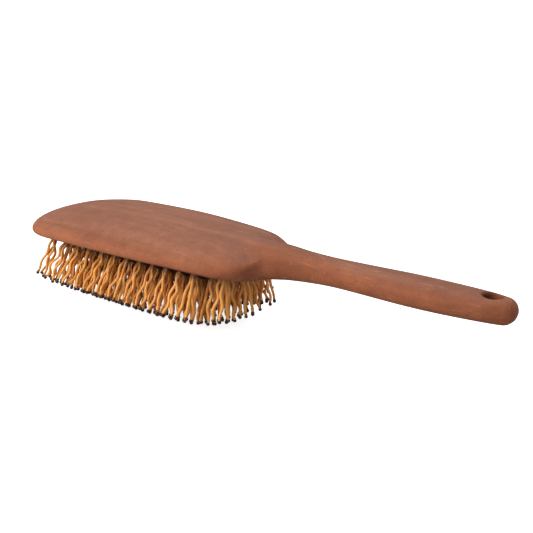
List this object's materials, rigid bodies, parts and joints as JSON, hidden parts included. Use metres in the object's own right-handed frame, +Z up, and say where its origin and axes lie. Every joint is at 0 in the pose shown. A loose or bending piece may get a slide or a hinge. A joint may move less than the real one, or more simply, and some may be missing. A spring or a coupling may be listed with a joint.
{
  "type": "paddle brush",
  "caption": "Wooden paddle hairbrush with a broad rounded head, a waisted handle with a hanging hole, and a black sprung rubber cushion carrying rows of wavy amber pins with dark ball tips.",
  "frame": {"origin": "on the surface that the pins' lowest tips stand on, under the middle of the brush's length and width", "axes": "+X along the brush from the head to the handle's end, +Y across the head, +Z up towards the back of the brush"},
  "size_m": [0.245, 0.0768, 0.0458],
  "materials": {
    "wood": "matte oiled reddish-brown wood with a fine grain",
    "cushion_rubber": "matte black rubber",
    "pin_amber": "glossy translucent amber plastic",
    "tip_dark": "glossy dark red-brown"
  },
  "bodies": {
    "brush_body": {"wooden_body": "wood", "cushion_edge": "cushion_rubber"},
    "cushion": {"cushion_pad": "cushion_rubber"},
    "row_1": {"pin_tufts_row_1": "pin_amber", "ball_tips_row_1": "tip_dark"},
    "row_2": {"pin_tufts_row_2": "pin_amber", "ball_tips_row_2": "tip_dark"},
    "row_3": {"pin_tufts_row_3": "pin_amber", "ball_tips_row_3": "tip_dark"},
    "row_4": {"pin_tufts_row_4": "pin_amber", "ball_tips_row_4": "tip_dark"},
    "row_5": {"pin_tufts_row_5": "pin_amber", "ball_tips_row_5": "tip_dark"},
    "row_6": {"pin_tufts_row_6": "pin_amber", "ball_tips_row_6": "tip_dark"},
    "row_7": {"pin_tufts_row_7": "pin_amber", "ball_tips_row_7": "tip_dark"}
  },
  "joints": [
    {"name": "cushion_press", "type": "slide", "parent": "brush_body", "child": "cushion", "axis": [0, 0, 1], "range_m": [0, 0.0022], "stiffness_N_per_m": 4000},
    {"name": "row_1_lean", "type": "hinge", "parent": "cushion", "child": "row_1", "pos_m": [0, -0.0231, 0.0302], "axis": [1, 0, 0], "range_deg": [-5, 5], "stiffness_Nm_per_rad": 0.1},
    {"name": "row_2_lean", "type": "hinge", "parent": "cushion", "child": "row_2", "pos_m": [0, -0.0154, 0.0279], "axis": [1, 0, 0], "range_deg": [-5, 5], "stiffness_Nm_per_rad": 0.1},
    {"name": "row_3_lean", "type": "hinge", "parent": "cushion", "child": "row_3", "pos_m": [0, -0.0077, 0.0253], "axis": [1, 0, 0], "range_deg": [-5, 5], "stiffness_Nm_per_rad": 0.1},
    {"name": "row_4_lean", "type": "hinge", "parent": "cushion", "child": "row_4", "pos_m": [0, 0, 0.0255], "axis": [1, 0, 0], "range_deg": [-5, 5], "stiffness_Nm_per_rad": 0.1},
    {"name": "row_5_lean", "type": "hinge", "parent": "cushion", "child": "row_5", "pos_m": [0, 0.0077, 0.0253], "axis": [1, 0, 0], "range_deg": [-5, 5], "stiffness_Nm_per_rad": 0.1},
    {"name": "row_6_lean", "type": "hinge", "parent": "cushion", "child": "row_6", "pos_m": [0, 0.0154, 0.0279], "axis": [1, 0, 0], "range_deg": [-5, 5], "stiffness_Nm_per_rad": 0.1},
    {"name": "row_7_lean", "type": "hinge", "parent": "cushion", "child": "row_7", "pos_m": [0, 0.0231, 0.0302], "axis": [1, 0, 0], "range_deg": [-5, 5], "stiffness_Nm_per_rad": 0.1}
  ],
  "couplings": [
    {"joint": "row_1_lean", "follows": "row_4_lean", "ratio": 1},
    {"joint": "row_2_lean", "follows": "row_4_lean", "ratio": 1},
    {"joint": "row_3_lean", "follows": "row_4_lean", "ratio": 1},
    {"joint": "row_5_lean", "follows": "row_4_lean", "ratio": 1},
    {"joint": "row_6_lean", "follows": "row_4_lean", "ratio": 1},
    {"joint": "row_7_lean", "follows": "row_4_lean", "ratio": 1}
  ]
}
